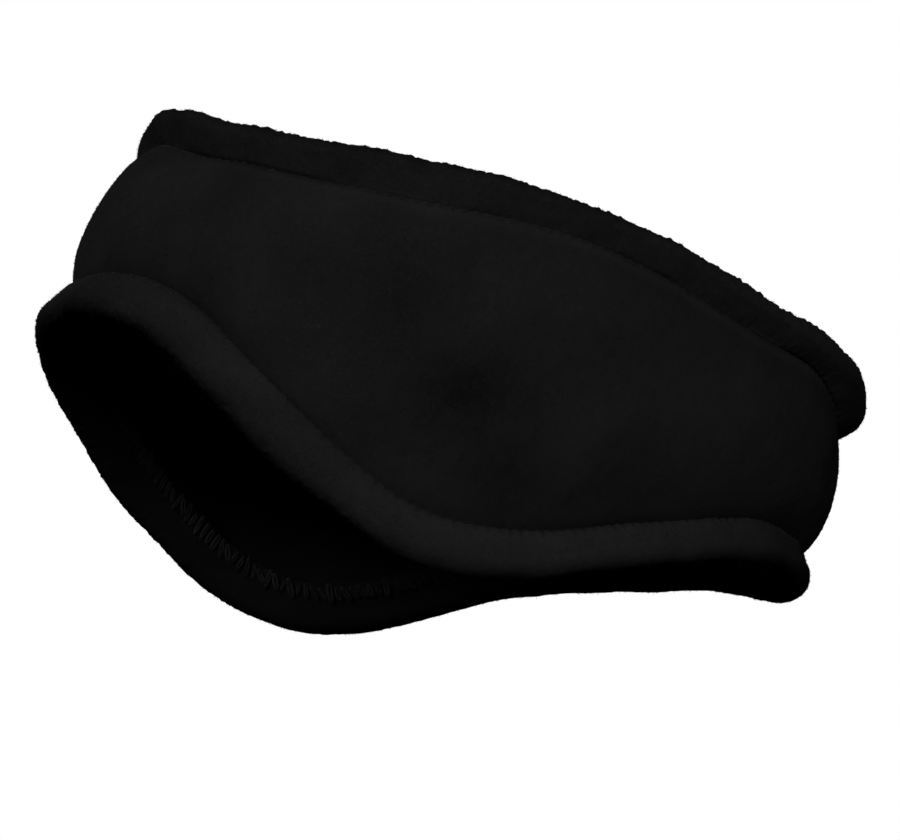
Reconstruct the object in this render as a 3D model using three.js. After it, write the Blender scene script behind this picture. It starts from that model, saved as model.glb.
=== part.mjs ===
// A fleece headband in the form that it has when it is worn over the forehead and both ears.
// Millimetres, +Z up, -Y the forehead, +X the wearer's left ear.
// The origin is the middle of the head opening, level with the mean of the middles of the forehead
// part and the back part.

import * as THREE from 'three';

// Plan of the band, at the height of the origin and on the face of the panel at its seams
const HALF_LENGTH = 94;        // origin to the forehead, and to the back of the head
const HALF_WIDTH = 76;         // origin to each ear
const SQUARENESS = 2.05;       // 2 is an ellipse, more has fuller corners
const BACK_WIDENING = 0.3;    // share by which the plan is wider at the back than at the middle
const LEAN_FRONT = 0.07;       // how far the wall leans in for each millimetre of height
const LEAN_SIDES = 0.02;
const LEAN_BACK = 0.05;

// The band in sections, at an angle round the head from the middle of the forehead. The other half
// mirrors it. top and bottom are the heights of the two folded edges, topHem and bottomHem how tall
// the folded strips are, and topFlare and bottomFlare how far their folds stand out of the wall.
const SECTIONS = [
  { around: 0, top: 31.5, bottom: -20, topHem: 10, bottomHem: 8, topFlare: 5.5, bottomFlare: 5 },
  { around: 30, top: 36.5, bottom: -19.5, topHem: 10, bottomHem: 9, topFlare: 5.5, bottomFlare: 5 },
  { around: 60, top: 33, bottom: -35, topHem: 8.5, bottomHem: 9, topFlare: 3.5, bottomFlare: 4 },
  { around: 90, top: 28.5, bottom: -65.5, topHem: 8, bottomHem: 11.5, topFlare: 2, bottomFlare: 3.5 },
  { around: 120, top: 19.5, bottom: -56, topHem: 10.5, bottomHem: 12, topFlare: 2.2, bottomFlare: 3.5 },
  { around: 150, top: 16, bottom: -39, topHem: 10.5, bottomHem: 12.5, topFlare: 3, bottomFlare: 6 },
  { around: 180, top: 24, bottom: -35.5, topHem: 9.5, bottomHem: 12.5, topFlare: 3.5, bottomFlare: 5 },
];

// Soft dents in the panel, on both sides. height is the share of the way up from the bottom seam,
// length and width are the dent's own, in millimetres, and turned is how far its length points
// up towards the back, in degrees.
const DENTS = [
  { around: 98, height: 0.45, length: 14, width: 11, turned: 35, depth: 1.3 },
  { around: 112, height: 0.62, length: 22, width: 8, turned: 35, depth: 0.8 },
  { around: 84, height: 0.22, length: 22, width: 8, turned: 35, depth: 0.8 },
];

// Cloth
const PANEL_WALL = 2.4;        // thickness of the fleece between the seams
const TUCKED_WALL = 1.6;       // the same where a hem presses it
const BULGE = 4.7;             // how far the panel stands out between the seams
const BULGE_POWER = 2.5;       // 2 is a parabola, more is flatter in the middle
const GROOVE = 1.1;            // how far the stitches pull the panel in at a seam
const TUCK = 5;                // how far the panel's edge reaches into a hem
const GAP = 0.4;               // clearance between the panel and the hems
const FOLD_RADIUS = 3.3;       // half the thickness of a hem at its fold
const LIP_OUT = 0.5;           // where the hem's outer edge lies, at the seam
const LIP_RISE = 0.2;          // how far from the seam the outer edge's corners are
const INNER_LEG = 1.6;         // thickness of the hem's leg inside the band
const INNER_LEG_REACH = 1.5;   // how far that leg runs past the seam
const INNER_LEG_START = 2;     // how far before the seam it has reached its place
const LEG_TIP = 0.5;           // how far the tip of that leg is rounded
const FLARE_POWER = 1.8;       // how soon a hem reaches its flare

// Fineness of the meshes
const STATIONS = 72;
const PANEL_ROWS = 12;
const INSIDE_ROWS = 8;
const OUTER_LEG_ROWS = 5;
const FOLD_ROWS = 8;

const DEGREE = Math.PI / 180;
const SECTION_STEP = 30;
const SMALL_ANGLE = 0.5 * DEGREE;

const panelCloth = new THREE.MeshStandardMaterial({ color: 0x131315, roughness: 0.95, metalness: 0 });
const hemCloth = new THREE.MeshStandardMaterial({ color: 0x161618, roughness: 0.95, metalness: 0 });

// A column of the table at any angle, on a smooth curve through its rows
function along(angle, column) {
  const last = SECTIONS.length - 1;
  const valueAt = (index) => {
    const folded = Math.abs(index) % (2 * last);
    return SECTIONS[folded > last ? 2 * last - folded : folded][column];
  };
  const place = angle / DEGREE / SECTION_STEP;
  const index = Math.floor(place);
  const f = place - index;
  const [a, b, c, d] = [index - 1, index, index + 1, index + 2].map(valueAt);
  const cubic = 3 * b - a - 3 * c + d;
  const square = 2 * a - 5 * b + 4 * c - d;
  return b + 0.5 * f * (c - a + f * (square + f * cubic));
}

// The plan's point at an angle: a superellipse that is wider behind
function plan(angle) {
  const power = 2 / SQUARENESS;
  const c = Math.cos(angle);
  const s = Math.sin(angle);
  const y = -HALF_LENGTH * Math.sign(c) * Math.abs(c) ** power;
  const halfWidth = HALF_WIDTH * (1 + BACK_WIDENING * y / HALF_LENGTH);
  return new THREE.Vector3(halfWidth * Math.sign(s) * Math.abs(s) ** power, y, 0);
}

// The level direction out of the wall
function planNormal(angle) {
  const run = plan(angle + SMALL_ANGLE).sub(plan(angle - SMALL_ANGLE));
  return new THREE.Vector3(run.y, -run.x, 0).normalize();
}

// A point of the leaning wall, moved out of it by a distance
function wallPoint(angle, height, out) {
  const side = Math.sin(angle) ** 2;
  const end = Math.cos(angle) > 0 ? LEAN_FRONT : LEAN_BACK;
  const lean = end * (1 - side) + LEAN_SIDES * side;
  return plan(angle).addScaledVector(planNormal(angle), out - lean * height).setZ(height);
}

// One hem: which edge of the band it is on, and its columns of the table
const TOP = { edge: 'top', hem: 'topHem', flare: 'topFlare', up: 1 };
const BOTTOM = { edge: 'bottom', hem: 'bottomHem', flare: 'bottomFlare', up: -1 };

// How much longer the wall is along the edge than level, for each unit round
function edgeStretch(angle, side) {
  const before = plan(angle - SMALL_ANGLE);
  const after = plan(angle + SMALL_ANGLE);
  const rise = along(angle + SMALL_ANGLE, side.edge) - along(angle - SMALL_ANGLE, side.edge);
  return Math.hypot(1, rise / before.distanceTo(after));
}

// Height of the seam between the panel and a hem
function seamHeight(angle, side) {
  return along(angle, side.edge) - side.up * along(angle, side.hem) * edgeStretch(angle, side);
}

// How deep the dents are at a place on the panel
function dentDepth(angle, share, span) {
  const radius = plan(angle).length();
  const turnedFromFront = Math.abs(Math.atan2(Math.sin(angle), Math.cos(angle)));
  let depth = 0;
  for (const dent of DENTS) {
    const back = (turnedFromFront - dent.around * DEGREE) * radius;
    const up = (share - dent.height) * span;
    const c = Math.cos(dent.turned * DEGREE);
    const s = Math.sin(dent.turned * DEGREE);
    const alongDent = (back * c + up * s) / dent.length;
    const acrossDent = (up * c - back * s) / dent.width;
    depth += dent.depth * Math.exp(-(alongDent ** 2) - acrossDent ** 2);
  }
  return depth;
}

// The panel's section: up its outer face, and down its inner face
function panelSection(angle) {
  const low = seamHeight(angle, BOTTOM);
  const span = seamHeight(angle, TOP) - low;
  const point = (share, inwards) => {
    const height = low + share * span;
    const crown = BULGE * (1 - Math.abs(2 * share - 1) ** BULGE_POWER);
    const out = crown - dentDepth(angle, share, span) * Math.sin(Math.PI * share);
    return wallPoint(angle, height, out - inwards);
  };
  const tucked = (side, reach, inwards) => {
    const height = seamHeight(angle, side) + side.up * reach * edgeStretch(angle, side);
    return wallPoint(angle, height, -GROOVE - inwards);
  };
  const section = [tucked(BOTTOM, TUCK, 0), tucked(BOTTOM, 0, 0)];
  for (let row = 1; row < PANEL_ROWS; row += 1) {
    section.push(point(0.5 - 0.5 * Math.cos(Math.PI * row / PANEL_ROWS), 0));
  }
  section.push(tucked(TOP, 0, 0), tucked(TOP, TUCK, 0));
  section.push(tucked(TOP, TUCK, TUCKED_WALL), tucked(TOP, 0, TUCKED_WALL));
  for (let row = INSIDE_ROWS - 1; row > 0; row -= 1) {
    section.push(point(row / INSIDE_ROWS, PANEL_WALL));
  }
  section.push(tucked(BOTTOM, 0, TUCKED_WALL), tucked(BOTTOM, TUCK, TUCKED_WALL));
  return section;
}

// The outline of a hem's section, each corner a distance out of the wall and past the seam
function hemOutline(height, flare) {
  const foldStart = height - FOLD_RADIUS;
  const slotOut = -GROOVE + GAP;
  const slotIn = -GROOVE - TUCKED_WALL - GAP;
  const outline = [];
  for (let row = 0; row < OUTER_LEG_ROWS; row += 1) {
    const share = row / OUTER_LEG_ROWS;
    const out = LIP_OUT + (flare - LIP_OUT) * (1 - (1 - share) ** FLARE_POWER);
    outline.push([out, LIP_RISE + share * (foldStart - LIP_RISE)]);
  }
  for (let row = 0; row <= FOLD_ROWS; row += 1) {
    const turn = Math.PI * row / FOLD_ROWS;
    outline.push([flare - FOLD_RADIUS + FOLD_RADIUS * Math.cos(turn), foldStart + FOLD_RADIUS * Math.sin(turn)]);
  }
  outline.push([slotIn - INNER_LEG, INNER_LEG_START]);
  outline.push([slotIn - INNER_LEG, LEG_TIP - INNER_LEG_REACH]);
  outline.push([slotIn - INNER_LEG / 2, -INNER_LEG_REACH], [slotIn, LEG_TIP - INNER_LEG_REACH]);
  outline.push([slotIn, TUCK + GAP], [slotOut, TUCK + GAP]);
  outline.push([slotOut, LIP_RISE]);
  outline.push([(slotOut + LIP_OUT) / 2, 0]);
  return outline;
}

// A hem's section: its outline, set square to the seam
function hemSection(angle, side) {
  const height = seamHeight(angle, side);
  const seamPoint = (a) => wallPoint(a, seamHeight(a, side), 0);
  const run = seamPoint(angle + SMALL_ANGLE).sub(seamPoint(angle - SMALL_ANGLE));
  const rise = wallPoint(angle, height + 1, 0).sub(wallPoint(angle, height - 1, 0));
  const out = run.clone().cross(rise).normalize();
  const past = out.clone().cross(run).normalize().multiplyScalar(side.up);
  const origin = wallPoint(angle, height, 0);
  const outline = hemOutline(along(angle, side.hem), along(angle, side.flare));
  const section = outline.map(([outwards, beyond]) => (
    origin.clone().addScaledVector(out, outwards).addScaledVector(past, beyond)
  ));
  return side.up > 0 ? section : section.reverse();
}

// A closed tube of sections all round the head, with its faces pointing out
function band(name, sectionAt, material) {
  const positions = [];
  for (let station = 0; station < STATIONS; station += 1) {
    for (const point of sectionAt(2 * Math.PI * station / STATIONS)) {
      positions.push(point.x, point.y, point.z);
    }
  }
  const rows = positions.length / 3 / STATIONS;
  const faces = [];
  for (let station = 0; station < STATIONS; station += 1) {
    const next = (station + 1) % STATIONS;
    for (let row = 0; row < rows; row += 1) {
      const above = (row + 1) % rows;
      const [a, b] = [station * rows + row, next * rows + row];
      const [c, d] = [next * rows + above, station * rows + above];
      faces.push(a, b, c, a, c, d);
    }
  }
  const geometry = new THREE.BufferGeometry();
  geometry.setAttribute('position', new THREE.Float32BufferAttribute(positions, 3));
  geometry.setIndex(faces);
  geometry.computeVertexNormals();
  const mesh = new THREE.Mesh(geometry, material);
  mesh.name = name;
  return mesh;
}

const headband = new THREE.Group();
headband.add(
  band('band_panel', panelSection, panelCloth),
  band('top_hem', (angle) => hemSection(angle, TOP), hemCloth),
  band('bottom_hem', (angle) => hemSection(angle, BOTTOM), hemCloth),
);

export default headband;
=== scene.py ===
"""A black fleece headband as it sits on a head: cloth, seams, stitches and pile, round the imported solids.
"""

import math

import bpy
import numpy as np
from mathutils import Matrix, Vector


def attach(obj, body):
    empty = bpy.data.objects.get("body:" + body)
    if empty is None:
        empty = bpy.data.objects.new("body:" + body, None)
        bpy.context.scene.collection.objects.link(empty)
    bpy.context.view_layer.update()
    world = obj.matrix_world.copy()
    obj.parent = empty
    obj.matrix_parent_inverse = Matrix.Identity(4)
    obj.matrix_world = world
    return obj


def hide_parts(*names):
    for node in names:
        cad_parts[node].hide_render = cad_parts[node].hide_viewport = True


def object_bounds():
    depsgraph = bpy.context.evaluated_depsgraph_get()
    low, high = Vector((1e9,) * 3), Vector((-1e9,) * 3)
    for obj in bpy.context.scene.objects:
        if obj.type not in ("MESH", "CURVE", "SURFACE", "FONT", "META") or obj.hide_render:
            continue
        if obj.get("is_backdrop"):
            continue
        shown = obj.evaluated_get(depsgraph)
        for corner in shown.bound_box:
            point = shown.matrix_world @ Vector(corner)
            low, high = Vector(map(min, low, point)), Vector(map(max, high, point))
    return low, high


bl_info = {
    "name": "Fleece headband",
    "version": (1, 0, 0),
    "blender": (4, 5, 0),
    "location": "View3D > Sidebar > Headband",
    "description": "Makes the cloth, the stitches and the pile of a fleece headband",
    "category": "Object",
}

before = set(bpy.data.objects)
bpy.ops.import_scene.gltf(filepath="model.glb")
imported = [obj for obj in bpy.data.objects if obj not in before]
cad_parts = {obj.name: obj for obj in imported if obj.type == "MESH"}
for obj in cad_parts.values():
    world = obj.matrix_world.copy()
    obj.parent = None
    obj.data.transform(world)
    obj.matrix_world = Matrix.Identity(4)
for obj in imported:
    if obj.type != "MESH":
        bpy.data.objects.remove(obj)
CAD_LOW, CAD_HIGH = (Vector(corner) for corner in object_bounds())

MM = 0.001
BODY = "root"

# The plan of the wall at height 0, in millimetres, and how far the wall leans in for each unit up
HALF_LENGTH = 94
HALF_WIDTH = 76
SQUARENESS = 2.05
BACK_WIDENING = 0.3
LEAN_FRONT = 0.07
LEAN_SIDES = 0.02
LEAN_BACK = 0.05

# The heights of the edges, the widths of the hems and how far they flare out of the wall, in millimetres:
# one row for every 30 degrees from the middle of the forehead to the middle of the back
COLUMNS = ("top", "bottom", "top_hem", "bottom_hem", "top_flare", "bottom_flare")
SECTIONS = np.array([
    (31.5, -20, 10, 8, 5.5, 5),
    (36.5, -19.5, 10, 9, 5.5, 5),
    (33, -35, 8.5, 9, 3.5, 4),
    (28.5, -65.5, 8, 11.5, 2, 3.5),
    (19.5, -56, 10.5, 12, 2.2, 3.5),
    (16, -39, 10.5, 12.5, 3, 6),
    (24, -35.5, 9.5, 12.5, 3.5, 5),
])
SECTION_STEP = math.radians(30)

# Where an edge runs higher or lower, or a hem is wider or narrower, than its section says: the column,
# degrees round from the forehead by the left ear (the right ear is at 270), reach in degrees, millimetres
LOCAL_CHANGES = (
    ("top", 184, 8, -1.4),
    ("top_hem", 184, 8, -1.6),
    ("top", 226, 10, -1.2),
    ("top_hem", 220, 22, -2.3),
    ("top", 326, 9, -0.9),
    ("top_hem", 322, 11, -2.4),
    ("top_flare", 328, 14, -1.0),
    ("bottom", 240, 22, -2.0),
    ("bottom", 243, 8, -1.3),
    ("bottom_hem", 243, 8, 1.3),
    ("bottom", 273, 9, 2.0),
    ("bottom", 299, 13, -2.2),
    ("bottom", 112, 14, -1.1),
    ("bottom", 145, 9, -0.4),
    ("bottom", 45, 24, -0.9),
)

# The panel, in millimetres: its wall, which thins towards the edges that are tucked into the hems, how far
# it bulges out between the seams, and the groove that each seam pulls in
PANEL_WALL = 2.4
TUCKED_WALL = 1.6
WALL_TAPER = 2.5
BULGE = 4.7
BULGE_POWER = 2.5
GROOVE = 1.1
GROOVE_REACH = 2.4

# How far the cloth moves up and down along a seam from stitch to stitch, and how soon that dies out
SCALLOP = 0.16
PUCKER_REACH = 1.3

# The raised strip under the top seam: its height, its distance from the seam and half its width
WELT = 0.35
WELT_PLACE = 1.6
WELT_WIDTH = 1.2

# How far past the seams the rows of the panel's tucked edges lie, on its outer and its inner face
TUCK = 5
OUTER_TUCK = (TUCK, 3, 1.5, 0.6)
INNER_TUCK = (TUCK, 3, 1)

# The hems, in millimetres: how the outer face leaves the seam, the gap round the panel's edge, and how
# thick the inner leg is, how far it reaches past the seam and how round its end is
LIP_RISE = 0.05
LIP_SUNK = 0.02
LIP_SHARES = (0.3, 0.7)
LIP_GAP = 0.1
INNER_LEG = 1.6
INNER_LEG_REACH = 1.5
LEG_TIP = 0.5

# How much of the fine relief and the pile a place has, from 0 to 1: on the panel it fades out into the
# seams by a power, on a hem it grows this much faster than the way up from the seam. The inner face and
# the end of a hem's inner leg have less, and the panel is this much frayed
PANEL_FADE_POWER = 0.35
HEM_FADE_RATE = 6
INSIDE_SHOWN = 0.6
TIP_SHOWN = 0.3
PANEL_FRAY = 0.2

# Unevenness: its strength, the shortest and the longest wave in millimetres, how many waves are added up
STITCH_DEPTH_WAVES = (0.5, 6, 18, 20)
STITCH_SHIFT_WAVES = (0.7, 7, 20, 20)
SOFT_WAVES = (1, 22, 60, 26)
SMALL_WAVES = (0.35, 7, 16, 26)
CLUMP_WAVES = (1, 3, 6, 60)
FRAY_WAVES = (1, 1.2, 2.2, 60)
PANEL_NAP_WAVES = (0.1, 14, 45, 24)
HEM_HEIGHT_WAVES = (0.3, 30, 80, 16)
HEM_FLARE_WAVES = (0.35, 18, 50, 16)
HEM_NAP_WAVES = (0.07, 10, 35, 24)

# Dents in the panel on both sides: degrees round from the forehead, share of the way up,
# length and width in millimetres, degrees that the length turns up towards the back, depth
DENTS = (
    (98, 0.45, 14, 11, 35, 1.3),
    (112, 0.62, 22, 8, 35, 0.8),
    (84, 0.22, 22, 8, 35, 0.8),
)

# Shallow creases in the same form, finer than the solids show
CREASES = (
    (104, 0.80, 16, 4, 62, 0.35),
    (121, 0.55, 14, 4, 48, 0.3),
    (92, 0.30, 12, 3.5, 20, 0.35),
    (86, 0.10, 20, 3, 8, 0.4),
    (72, 0.12, 18, 3, 4, 0.3),
    (76, 0.42, 10, 6, -30, -0.35),
    (64, 0.62, 12, 8, -40, -0.35),
    (135, 0.40, 16, 7, 70, 0.25),
    (150, 0.70, 10, 5, 80, 0.2),
    (50, 0.45, 14, 5, -60, 0.25),
    (22, 0.55, 10, 5, 80, 0.2),
)

# Painted shade and painted light on the panel: darker colour in and near the dents and in broad patches
# towards the forehead and the back, lighter colour on and near the raised creases. The same columns, with
# the share by which the colour darkens, and lightens where it is below 0, in place of the depth
PAINTED_SHADING_MARKS = (
    (98, 0.42, 9, 7, 0, 0.26),
    (98, 0.44, 22, 14, 20, 0.14),
    (113, 0.66, 13, 8, 60, 0.26),
    (90, 0.20, 26, 10, 14, 0.14),
    (84, 0.10, 24, 5, 4, 0.03),
    (79, 0.40, 11, 8, -20, -0.12),
    (67, 0.58, 12, 9, -30, -0.12),
    (58, 0.50, 26, 30, 0, -0.10),
    (113, 0.15, 22, 11, 22, 0.16),
    (108, 0.30, 13, 10, 0, 0.10),
    (132, 0.50, 26, 24, 0, 0.12),
    (12, 0.50, 16, 30, 0, 0.10),
)

# Painted highlight on the raised strip under the top seam: how much lighter its colour is, every 30 degrees
# from the forehead
WELT_PAINTED_HIGHLIGHT = np.array([0.20, 0.30, 0.32, 0.22, 0.10, 0.04, 0.04])

# Fineness of the cloth meshes: stations round the head, and rows across each face
STATIONS = 864
STATION_ANGLES = np.arange(STATIONS) * 2 * math.pi / STATIONS
SMALL_ANGLE = math.radians(0.5)
OUTSIDE_ROWS = 80
INSIDE_ROWS = 20
ROW_EASE = 0.3
OUTER_LEG_ROWS = 24
FOLD_ROWS = 20
INNER_LEG_ROWS = 14
TIP_ROWS = 3
SLOT_ROWS = 5
HEM_ROWS = OUTER_LEG_ROWS + FOLD_ROWS + INNER_LEG_ROWS + TIP_ROWS + 2 * SLOT_ROWS + len(LIP_SHARES)

# The rows where the panel's outer face meets the top seam and where a hem's inner leg ends
PANEL_TOP_ROW = len(OUTER_TUCK) + OUTSIDE_ROWS - 1
LEG_END_ROW = OUTER_LEG_ROWS + FOLD_ROWS + INNER_LEG_ROWS - 1

# Stitches, in metres and radians: how many cloth rows are searched for their line, how far off the cloth
# they are laid, their random slant, how deep a bar's ends are sunk for its rise, and the loops' distance
# from the leg's end, length, lean and number for each outside stitch
LINE_ROWS = 14
BAR_LIFT = 0.00005
BAR_SLANT = 0.5
BAR_SUNK = 0.6
LOOP_LIFT = 0.0001
LOOP_SLANT = 0.45
LOOP_DISTANCE = 0.0022
LOOP_LENGTH = 0.0007
LOOP_LEAN = 0.3
LOOP_CROWDING = 1.35
THREAD_SIDES = 6
SCALE_SEED_STEP = 5

# Loose fibres: their width in metres, and how far they lean over, in radians
FIBRE_WIDTH = 0.00007
LEAST_LEAN = 0.7
MOST_LEAN = 1.4

# The fleece's noise: patches for each metre, how much finer the fibres are than the clumps, how much
# patches and fibres count beside the clumps, the contrast, the noise where flecks start and are full, how
# much lighter they are, the least light and roughness, and the fibres' share of the relief
PATCH_SCALE = 45.0
FIBRE_FINENESS = 4.5
PATCH_PART = 0.7
FIBRE_PART = 0.7
CONTRAST = 4.0
FLECK_START = 0.62
FLECK_FULL = 0.78
FLECK_LIFT = 0.3
LEAST_LIGHT = 0.25
LEAST_ROUGHNESS = 0.86
FIBRE_RELIEF = 0.45

# Clump sizes and heights of relief in metres, and how uneven the fleece's colour is
PANEL_CLUMP = 0.003
HEM_CLUMP = 0.0028
FLEECE_RELIEF = 0.00012
FLEECE_UNEVENNESS = 0.09
THREAD_CLUMP = 0.0015
THREAD_RELIEF = 0.00005

# Where the photograph was taken from: degrees, metres, the lens and the sensor's width in millimetres, and
# how far right of the origin and above it the camera aims, in metres
VIEW_AZIMUTH = 258.5
VIEW_ELEVATION = -13.9
VIEW_ROLL = 23.0
VIEW_DISTANCE = 1.0
LENS = 162.0
SENSOR = 36
AIM_RIGHT = -0.0044
AIM_UP = -0.0133

# The studio: the floor's drop below the headband and its radius, in metres, the light that comes from all
# round, and the lamps' azimuth and elevation in degrees, width in metres and watts
FLOOR_DROP = 0.0008
FLOOR_RADIUS = 1.3
ROUND_LIGHT = 0.004
LIGHT_DISTANCE = 1.6
LIGHTS = (
    ("key_light", 259, 3, 0.7, 32),
    ("fill_light", 202, 2, 0.5, 13),
    ("far_side_light", 70, 30, 0.8, 40),
    ("back_light", 135, 6, 0.8, 22),
)


class HeadbandSizes(bpy.types.PropertyGroup):
    """Sizes of the stitches and the cloth's fine relief"""

    stitch_pitch: bpy.props.FloatProperty(
        name="Stitch pitch", description="Distance from one stitch to the next along a seam",
        default=0.00295, min=0.001, max=0.01, unit="LENGTH")
    bar_length: bpy.props.FloatProperty(
        name="Bar length", description="How far an outside stitch reaches across the seam",
        default=0.0012, min=0.0005, max=0.006, unit="LENGTH")
    loop_width: bpy.props.FloatProperty(
        name="Loop width", description="Width of the band of loops on the inside",
        default=0.0046, min=0.001, max=0.01, unit="LENGTH")
    thread: bpy.props.FloatProperty(
        name="Thread", description="Diameter of the sewing thread of the outside stitches",
        default=0.00042, min=0.0001, max=0.002, unit="LENGTH")
    loop_thread: bpy.props.FloatProperty(
        name="Loop thread", description="Diameter of the softer thread of the inside loops",
        default=0.0007, min=0.0001, max=0.002, unit="LENGTH")
    wave_depth: bpy.props.FloatProperty(
        name="Wave depth", description="Height of the cloth's soft waves",
        default=0.00045, min=0.0, max=0.002, unit="LENGTH")
    clump_depth: bpy.props.FloatProperty(
        name="Clump depth", description="Height of the small clumps of the pile",
        default=0.00005, min=0.0, max=0.001, unit="LENGTH")
    fray_depth: bpy.props.FloatProperty(
        name="Fray depth", description="Height of the fine clumps of pile on the folds of the hems",
        default=0.00035, min=0.0, max=0.001, unit="LENGTH")
    pile_length: bpy.props.FloatProperty(
        name="Pile length", description="Length of the loose fibres on the panel",
        default=0.0005, min=0.0001, max=0.003, unit="LENGTH")
    hem_pile_length: bpy.props.FloatProperty(
        name="Hem pile length", description="Length of the loose fibres on the hems",
        default=0.0007, min=0.0001, max=0.003, unit="LENGTH")
    # Painted highlight: the loose fibres are made lighter than their cloth
    fibre_painted_highlight: bpy.props.FloatProperty(
        name="Fibre lift", description="How much lighter the loose fibres are than their cloth",
        default=1.3, min=0.5, max=3)
    pile_density: bpy.props.FloatProperty(
        name="Pile density", description="Loose fibre tufts on each square metre of cloth",
        default=900000, min=0, max=3000000)


class HeadbandColours(bpy.types.PropertyGroup):
    """Colours of the cloth, the thread and the floor"""

    panel: bpy.props.FloatVectorProperty(
        name="Panel", description="Colour of the panel's fleece",
        subtype="COLOR", size=3, default=(0.0069, 0.0069, 0.0069), min=0, max=1)
    hem: bpy.props.FloatVectorProperty(
        name="Hems", description="Colour of the folded hems' fleece",
        subtype="COLOR", size=3, default=(0.0077, 0.0077, 0.0077), min=0, max=1)
    thread: bpy.props.FloatVectorProperty(
        name="Thread", description="Colour of the sewing thread of the outside stitches",
        subtype="COLOR", size=3, default=(0.0078, 0.0078, 0.0078), min=0, max=1)
    loop_thread: bpy.props.FloatVectorProperty(
        name="Loop thread", description="Colour of the soft thread of the inside loops",
        subtype="COLOR", size=3, default=(0.015, 0.0155, 0.016), min=0, max=1)
    floor: bpy.props.FloatVectorProperty(
        name="Floor", description="Colour of the floor under the headband",
        subtype="COLOR", size=3, default=(0.82, 0.82, 0.82), min=0, max=1)


# The shape of the band, in millimetres, over arrays of angles

def between(angle, values):
    """Values for every 30 degrees of half the band, on a smooth curve at any angle."""
    last = len(values) - 1
    place = np.asarray(angle) / SECTION_STEP
    index = np.floor(place).astype(int)
    f = place - index

    def value_at(offset):
        folded = np.abs(index + offset) % (2 * last)
        return values[np.where(folded > last, 2 * last - folded, folded)]

    a, b, c, d = (value_at(offset) for offset in (-1, 0, 1, 2))
    cubic = 3 * b - a - 3 * c + d
    square = 2 * a - 5 * b + 4 * c - d
    return b + 0.5 * f * (c - a + f * (square + f * cubic))


def along(angle, column):
    """A column of the sections at any angle, with its local changes."""
    value = between(angle, SECTIONS[:, COLUMNS.index(column)])
    for changed, around, reach, change in LOCAL_CHANGES:
        if changed == column:
            away = (np.degrees(angle) - around + 180) % 360 - 180
            value = value + change * np.exp(-(away / reach) ** 2)
    return value


def unit(vectors):
    """The same directions, one unit long."""
    return vectors / np.linalg.norm(vectors, axis=-1, keepdims=True)


def plan(angle):
    """The plan's points: a superellipse that is wider behind."""
    power = 2 / SQUARENESS
    c = np.cos(angle)
    s = np.sin(angle)
    y = -HALF_LENGTH * np.sign(c) * np.abs(c) ** power
    half_width = HALF_WIDTH * (1 + BACK_WIDENING * y / HALF_LENGTH)
    return np.stack([half_width * np.sign(s) * np.abs(s) ** power, y, 0 * y], -1)


def plan_normal(angle):
    """The level directions out of the wall."""
    run = plan(angle + SMALL_ANGLE) - plan(angle - SMALL_ANGLE)
    return unit(np.stack([run[..., 1], -run[..., 0], 0 * run[..., 0]], -1))


def wall_point(angle, height, out):
    """Points of the leaning wall, moved out of it by a distance."""
    side = np.sin(angle) ** 2
    end = np.where(np.cos(angle) > 0, LEAN_FRONT, LEAN_BACK)
    lean = end * (1 - side) + LEAN_SIDES * side
    moved = plan(angle) + plan_normal(angle) * (out - lean * height)[..., None]
    return np.stack([moved[..., 0], moved[..., 1], height + 0 * moved[..., 0]], -1)


class Side:
    """One hem: which edge of the band it is on, how its outer face swells, and its painted shading.

    In millimetres: lip is how far out of the wall the cloth leaves the seam, radius is the fold's, swell
    is how far the outer face stands proud and pucker how deep the stitches pull the cloth in. early is
    below 1 where the face swells most close to the seam. Then come the painted shading: the shares,
    every 30 degrees from the forehead, by which painted shade darkens the hem's colour, with painted
    light where a share is below 0, and the share of painted shade that is added towards the fold.
    frayed holds the shares by which fine clumps of pile roughen the fold, every 30 degrees too."""

    def __init__(self, edge, up, lip, radius, swell, early, pucker, painted_shading_by_angle, painted_fold_shade, frayed):
        self.edge = edge
        self.hem = edge + "_hem"
        self.flare = edge + "_flare"
        self.up = up
        self.lip = lip
        self.radius = radius
        self.swell = swell
        self.early = early
        self.pucker = pucker
        self.painted_shading_by_angle = np.array(painted_shading_by_angle)
        self.painted_fold_shade = painted_fold_shade
        self.frayed = np.array(frayed)


# Each hem's painted shading, by angle round the head and towards its fold, is set here
TOP = Side(
    "top", up=1, lip=-0.85, radius=2.5, swell=0.15, early=1, pucker=0.03,
    painted_shading_by_angle=(0.50, -0.04, -0.08, 0.12, 0.28, 0.24, 0.24), painted_fold_shade=0.22, frayed=(1, 1, 1, 1, 1, 1, 1))
BOTTOM = Side(
    "bottom", up=-1, lip=-0.95, radius=3.3, swell=1.4, early=0.6, pucker=0.04,
    painted_shading_by_angle=(0.90, -0.02, -0.42, -0.26, -0.06, 0.02, 0.04), painted_fold_shade=0.5, frayed=(0.3, 0.2, 0.2, 0.3, 0.9, 1, 1))

# The outside stitches: the side, the cloth that they lie on, its row at the seam, how far from that row
# they lie and how high they rise, in metres, and the seed
BAR_LINES = (
    (TOP, "panel_cloth", PANEL_TOP_ROW, 0.0012, 0.00018, 3),
    (BOTTOM, "bottom_hem_cloth", HEM_ROWS - 1, 0.0024, 0.0003, 4),
)

# The inside stitches: the side, the row where the inner leg ends, the step from there up the leg, the seed
LOOP_LINES = (
    (TOP, LEG_END_ROW, -1, 5),
    (BOTTOM, HEM_ROWS - 1 - LEG_END_ROW, 1, 6),
)


def edge_stretch(angle, side):
    """How much longer the wall is along the edge than level, for each unit round."""
    run = np.linalg.norm(plan(angle + SMALL_ANGLE) - plan(angle - SMALL_ANGLE), axis=-1)
    rise = along(angle + SMALL_ANGLE, side.edge) - along(angle - SMALL_ANGLE, side.edge)
    return np.hypot(1, rise / run)


def seam_height(angle, side):
    """Height of the seam between the panel and a hem."""
    return along(angle, side.edge) - side.up * along(angle, side.hem) * edge_stretch(angle, side)


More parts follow.
